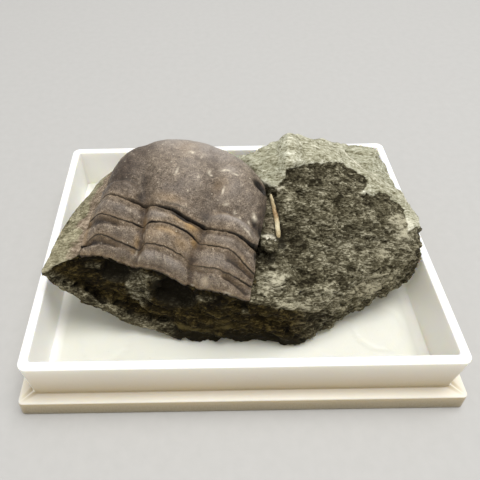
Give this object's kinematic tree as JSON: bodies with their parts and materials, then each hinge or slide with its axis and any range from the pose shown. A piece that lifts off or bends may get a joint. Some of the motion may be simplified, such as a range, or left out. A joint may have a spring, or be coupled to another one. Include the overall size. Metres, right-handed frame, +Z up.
{
  "type": "trilobite fossil in a display tray",
  "caption": "Fossil trilobite head shield and front thorax plates on a broken piece of grey-green rock, lying in the white base of a small specimen box.",
  "frame": {"origin": "middle of the tray's underside", "axes": "+X along the tray's long side, to the right in the picture; +Y to the back, away from the viewer; +Z up"},
  "size_m": [0.0464, 0.036, 0.0182],
  "materials": {
    "tray_plastic": "smooth moulded white plastic, satin to glossy",
    "rock": "grainy broken grey-green sandy shale, matte, paler on the fresh facets",
    "fossil_shell": "fine-grained purple-brown shell cast, faint satin sheen",
    "fossil_sliver": "smooth tan shell section"
  },
  "bodies": {
    "root": {"display_tray": "tray_plastic", "rock_matrix": "rock", "cephalon": "fossil_shell", "thorax_segment_1": "fossil_shell", "thorax_segment_2": "fossil_shell", "thorax_segment_3": "fossil_shell", "free_cheek_sliver": "fossil_sliver"}
  },
  "joints": []
}
